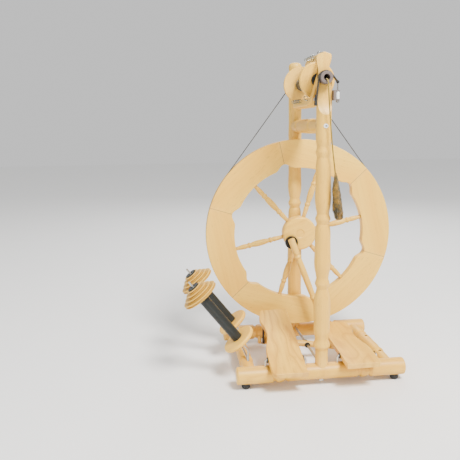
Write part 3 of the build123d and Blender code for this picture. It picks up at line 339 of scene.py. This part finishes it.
def wool(name, dark, light, scale=700.0, direction=(0, 0, 1), patches=38):
    """Spun or carded wool: soft sheen, streaks along the fibres, and colour that drifts."""
    fleece = Shader(name)
    rotation = Vector(direction).rotation_difference(Vector((0, 0, 1))).to_euler()
    streak = fleece.noise(fleece.moved(fleece.place, rotation, (scale, scale, scale / 8)), 1.0, 4, 0.6)
    drift = fleece.noise(fleece.place, patches, 3, 0.5)
    tint = fleece.mix(fleece.ramp(drift, (0.35, 0.0), (0.65, 1.0)), dark, light)
    shadow = fleece.maths("MULTIPLY", fleece.ramp(streak, (0.35, 1.0), (0.6, 0.0)), 0.55)
    fleece.colour(fleece.mix(shadow, tint, tuple(c * 0.45 for c in dark)))
    fleece.rough(streak, 0.78, 0.95)
    fleece.set(Sheen_Weight=0.35, Sheen_Roughness=0.5, Specular_IOR_Level=0.2)
    fleece.bump((streak, 0.0003))
    return fleece.material


def dress(node, material):
    """Give a carried-over CAD node its finish."""
    mesh = nodes[node].data
    mesh.materials.clear()
    mesh.materials.append(material)


# ---------------------------------------------------------------- finishes on the CAD nodes
WOOD_GRAIN = {
    "front_rail": (1, 0, 0), "rear_rail": (1, 0, 0), "left_side_rail": (0, 1, 0),
    "right_side_rail": (0, 1, 0), "front_post": (0, 0, 1), "rear_post": (0, 0, 1),
    "post_stretcher": (0, 1, 0), "wheel_hub": (1, 0, 0.4), "footman": (0.35, 0, -0.94),
    "left_treadle": (0, 0.957, 0.291), "right_treadle": (0, 0.999, 0.05), "rocker_bar": (1, 0, -0.14),
    "flyer_frame": (0, 1, 0), "bobbin_disc": (0.3, 0, 1), "bobbin_whorl": (0.8, 0, 0.6),
    "spare_bobbin_1_wood": (0.78, 0, 0.62), "spare_bobbin_2_wood": (0, 1, 0), "spokes": (0.22, 0, 1),
}
# Painted shade: parts that lie behind or under others get darker copies of the same beech.
PAINTED_SHADE_BY_PART = {"rear_post": 0.90, "spokes": 0.88, "footman": 0.94, "rocker_bar": 0.9,
               "post_stretcher": 0.9}
CONTOUR = {"left_treadle": 0.85, "right_treadle": 0.75, "front_rail": 0.45, "rear_rail": 0.45,
           "footman": 0.2}
for number, (node, grain) in enumerate(WOOD_GRAIN.items()):
    dress(node, beech(f"beech_{node}", grain, number + 1, PAINTED_SHADE_BY_PART.get(node, 1.0),
                      contour=CONTOUR.get(node, 0.0)))

for number in range(SEGMENTS):
    middle = radians(SPOKE_ANGLE + number * 360 / SEGMENTS)
    chord = (-sin(middle), 0, cos(middle))
    glue_lines = []
    for side in (-1, 1):
        edge = middle + side * pi / SEGMENTS
        glue_lines.append((AXLE, (-sin(edge), 0.0, cos(edge))))
    node = f"rim_segment_{number + 1}"
    # Painted light: the rim's beech is a slightly lighter copy, as the best lit part.
    dress(node, beech(f"beech_{node}", chord, 30 + number, 1.02, glue_lines, figure=0.05))

black_plastic = plastic("black_plastic", (0.006, 0.008, 0.007), 0.38, gloss=0.28)
grey_plastic = plastic("grey_plastic", (0.135, 0.105, 0.095), 0.45, gloss=0.3)
white_plastic = plastic("white_plastic", (0.82, 0.83, 0.82), 0.30, speck=0.1)
zinc = steel("zinc", (0.55, 0.55, 0.53), 0.30)
hook_steel = steel("hook_steel", (0.30, 0.32, 0.28), 0.22)
dull_steel = steel("dull_steel", (0.36, 0.35, 0.33), 0.45)
wire_steel = steel("wire_steel", (0.66, 0.64, 0.58), 0.30, (-0.62, 0, 0.78))
black_rubber = rubber("black_rubber", (0.012, 0.012, 0.012))
black_leather = leather("black_leather", (0.007, 0.009, 0.008))
cord_wool = wool("drive_cord", (0.045, 0.042, 0.038), (0.09, 0.085, 0.075), 1600)

for node in ("bobbin_core", "spare_bobbin_1_core", "spare_bobbin_2_core", "crank_bearing",
             "rocker_bushes", "treadle_bushes", "footman_connector", "flyer_bearings"):
    dress(node, black_plastic)
for node in ("orifice_sleeve", "brake_bracket"):
    dress(node, grey_plastic)
dress("brake_knob", white_plastic)
dress("bolt_caps", plastic("cap_plastic", (0.82, 0.83, 0.82), 0.30, speck=0.1, socket=at(0, 0, 603.3)))
for node in ("frame_bolts", "wheel_axle", "axle_nut", "flyer_shaft", "strap_screw",
             "crank_pin", "left_link_pin", "right_link_pin", "wheel_bearings", "rocker_axle"):
    dress(node, zinc)
for node in ("brake_rod", "footman_bracket"):
    dress(node, dull_steel)
for node in ("kate_wire", "treadle_brackets"):
    dress(node, wire_steel)
dress("rubber_feet", black_rubber)
dress("flyer_hooks", hook_steel)
for node in ("brake_strap", "left_link", "right_link"):
    dress(node, black_leather)
dress("drive_cord", cord_wool)

# ---------------------------------------------------------------- yarns
mustard = wool("mustard_yarn", (0.20, 0.12, 0.008), (0.38, 0.25, 0.025), 1500)
olive = wool("olive_yarn", (0.050, 0.035, 0.006), (0.13, 0.085, 0.018), 1500, (0, 1, 0))


def yarn_line(name, points, radius, material):
    """A yarn on a smooth curve through its route."""
    curve = bpy.data.curves.new(name, "CURVE")
    curve.dimensions = "3D"
    spline = curve.splines.new("NURBS")
    spline.points.add(len(points) - 1)
    for point, place in zip(spline.points, points):
        point.co = (*place, 1)
    spline.order_u = 3
    spline.use_endpoint_u = True
    spline.resolution_u = 16
    curve.bevel_depth = radius
    curve.bevel_resolution = 4
    curve.use_fill_caps = True
    curve.materials.append(material)
    piece = bpy.data.objects.new(name, curve)
    bpy.context.collection.objects.link(piece)
    return piece


YARN = [at(0, -12, 705), at(0, -29, 705), at(1, -30.5, 684), at(4, -28.5, 644), at(8.5, -27, 596),
        at(14, -25, 545), at(20, -24, 503), at(24.6, -23.6, 452), at(28.2, -24.3, 402)]
LEADER = [at(-10.5, 19.2, 713), at(0.5, 46, 759), at(-1, 92, 762), at(-11, 95, 723.5)]

hanging_yarn = yarn_line("hanging_yarn", YARN, 0.0015, mustard)
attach(hanging_yarn, "frame")
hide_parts("yarn")

flyer_yarn = yarn_line("flyer_yarn", LEADER, 0.0009, mustard)
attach(flyer_yarn, "flyer")
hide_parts("leader_yarn")


def mesh_piece(name, verts, faces, material, smooth=True):
    mesh = bpy.data.meshes.new(name)
    mesh.from_pydata(verts, [], faces)
    mesh.update()
    mesh.materials.append(material)
    if smooth:
        mesh.polygons.foreach_set("use_smooth", [True] * len(mesh.polygons))
    piece = bpy.data.objects.new(name, mesh)
    bpy.context.collection.objects.link(piece)
    return piece


def add_tube(verts, faces, line, radii, sides):
    """Append a capped tube along a list of points to a mesh's lists."""
    start = len(verts)
    guide = Vector((0.31, 0.87, 0.38))
    for index, place in enumerate(line):
        ahead = line[min(index + 1, len(line) - 1)] - line[max(index - 1, 0)]
        across = ahead.cross(guide).normalized()
        other = ahead.cross(across).normalized()
        for step in range(sides):
            turn = 2 * pi * step / sides
            verts.append(place + radii[index] * (cos(turn) * across + sin(turn) * other))
    for index in range(len(line) - 1):
        for step in range(sides):
            low = start + index * sides
            after = (step + 1) % sides
            faces.append((low + step, low + after, low + sides + after, low + sides + step))
    faces.append(tuple(start + step for step in reversed(range(sides))))
    last = start + (len(line) - 1) * sides
    faces.append(tuple(last + step for step in range(sides)))


# The tuft: a tapered core of carded wool under many fine locks.
TUFT_TOP = at(20, -24, 503)
TUFT_END = at(29, -24, 391)
tuft_wool = wool("tuft_wool", (0.045, 0.038, 0.014), (0.34, 0.18, 0.018), 900,
                 TUFT_END - TUFT_TOP, patches=75)
TUFT_PROFILE = [(0.004, 0.0022), (0.014, 0.0046), (0.036, 0.0074), (0.066, 0.0092), (0.092, 0.0112),
                (0.104, 0.0098), (0.109, 0.0056)]
LOCKS = 210


def tuft_radius(distance):
    for (low, low_r), (high, high_r) in zip(TUFT_PROFILE, TUFT_PROFILE[1:]):
        if distance <= high:
            return low_r + (high_r - low_r) * max(0.0, (distance - low) / (high - low))
    return TUFT_PROFILE[-1][1]


def make_tuft():
    along = (TUFT_END - TUFT_TOP).normalized()
    across = along.cross(Vector((0, 1, 0))).normalized()
    other = along.cross(across)
    verts, faces = [], []
    core = [TUFT_TOP + along * distance for distance, _ in TUFT_PROFILE]
    add_tube(verts, faces, core, [radius * 0.86 for _, radius in TUFT_PROFILE], 16)
    for lock in range(LOCKS):
        turn = lock * 2.39996
        start = 0.003 + 0.050 * ((lock * 0.618) % 1)
        reach = 0.045 + 0.020 * ((lock * 0.377) % 1)
        swirl = 0.5 * sin(lock * 1.7)
        line, radii = [], []
        steps = 9
        for step in range(steps):
            share = step / (steps - 1)
            distance = min(start + reach * share, 0.1085)
            lump = noise.noise(Vector((2.5 * cos(turn), 2.5 * sin(turn), distance * 55)))
            lift = 0.94 + 0.22 * lump + 0.16 * noise.noise(Vector((lock * 0.31, distance * 90, 3.1)))
            angle = turn + swirl * share + 0.5 * noise.noise(Vector((lock * 0.7, distance * 60, 9.2)))
            radius = tuft_radius(distance) * lift
            around = cos(angle) * across + sin(angle) * other
            line.append(TUFT_TOP + along * distance + radius * around)
            radii.append(0.0010 * (0.25 + 0.75 * sin(pi * min(0.97, max(0.06, share)))))
        add_tube(verts, faces, line, radii, 5)
    return mesh_piece("carded_tuft", verts, faces, tuft_wool)


carded_tuft = make_tuft()
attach(carded_tuft, "frame")
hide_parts("fibre_tuft")


WOUND_FROM, WOUND_TO = 0.0667, 0.2012
THREAD_R = 0.00085
STEPS_PER_TURN = 20


def yarn_layer(start, span, turns, core, belly, rough, place):
    """One layer of turns: its radius at the ends, its swell in the middle and its unevenness."""
    line = []
    for step in range(turns * STEPS_PER_TURN + 1):
        share = step / (turns * STEPS_PER_TURN)
        y = start + span * share
        bulge = core + belly * sin(pi * share) ** 0.5
        bulge += rough * noise.noise(Vector((y * place[0], *place[1:])))
        angle = 2 * pi * step / STEPS_PER_TURN
        line.append(FLYER + Vector((bulge * cos(angle), y, bulge * sin(angle))))
    return line


def make_wound_yarn():
    """Turns of yarn side by side on the bobbin, in two uneven layers."""
    verts, faces = [], []
    length = WOUND_TO - WOUND_FROM
    layers = (yarn_layer(WOUND_FROM, length, 76, 0.0142, 0.0014, 0.0005, (180, 2.7, 0.4)),
              yarn_layer(WOUND_TO - 0.001, 0.002 - length, 46, 0.0148, 0.0015, 0.0006, (150, 7.7, 1.4)))
    for line in layers:
        add_tube(verts, faces, line, [THREAD_R] * len(line), 6)
    return mesh_piece("yarn_turns", verts, faces, olive)


yarn_turns = make_wound_yarn()
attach(yarn_turns, "bobbin")
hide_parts("wound_yarn")

# ---------------------------------------------------------------- stage


def make_stage():
    floor_mat = Shader("floor")
    fine = floor_mat.noise(floor_mat.place, 6, 3, 0.5)
    floor_mat.colour(floor_mat.mix(fine, (0.93, 0.93, 0.92), (0.90, 0.90, 0.895)))
    floor_mat.rough(fine, 0.8, 0.9)
    half = 8.0
    corners = [(-half, -half, 0), (half, -half, 0), (half, half, 0), (-half, half, 0)]
    floor = mesh_piece("floor", corners, [(0, 1, 2, 3)], floor_mat.material)
    world = bpy.data.worlds.new("studio")
    world.use_nodes = True
    world.node_tree.nodes["Background"].inputs["Color"].default_value = (1.0, 1.0, 1.0, 1)
    world.node_tree.nodes["Background"].inputs["Strength"].default_value = 0.8
    bpy.context.scene.world = world


def make_light(name, place, aim, size, power, colour=(1, 1, 1)):
    data = bpy.data.lights.new(name, "AREA")
    data.shape = "DISK"
    data.size = size
    data.energy = power
    data.color = colour
    light = bpy.data.objects.new(name, data)
    light.location = place
    light.rotation_euler = (Vector(aim) - Vector(place)).to_track_quat("-Z", "Y").to_euler()
    bpy.context.collection.objects.link(light)


make_stage()
make_light("key", (0.7, -1.5, 2.5), (0, 0, 0.35), 0.9, 165, (1.0, 0.97, 0.93))
make_light("fill", (-2.2, -1.6, 1.2), (0, 0, 0.35), 1.8, 22, (0.98, 0.99, 1.0))
make_light("back", (0.6, 2.2, 1.8), (0, 0, 0.4), 1.4, 30)
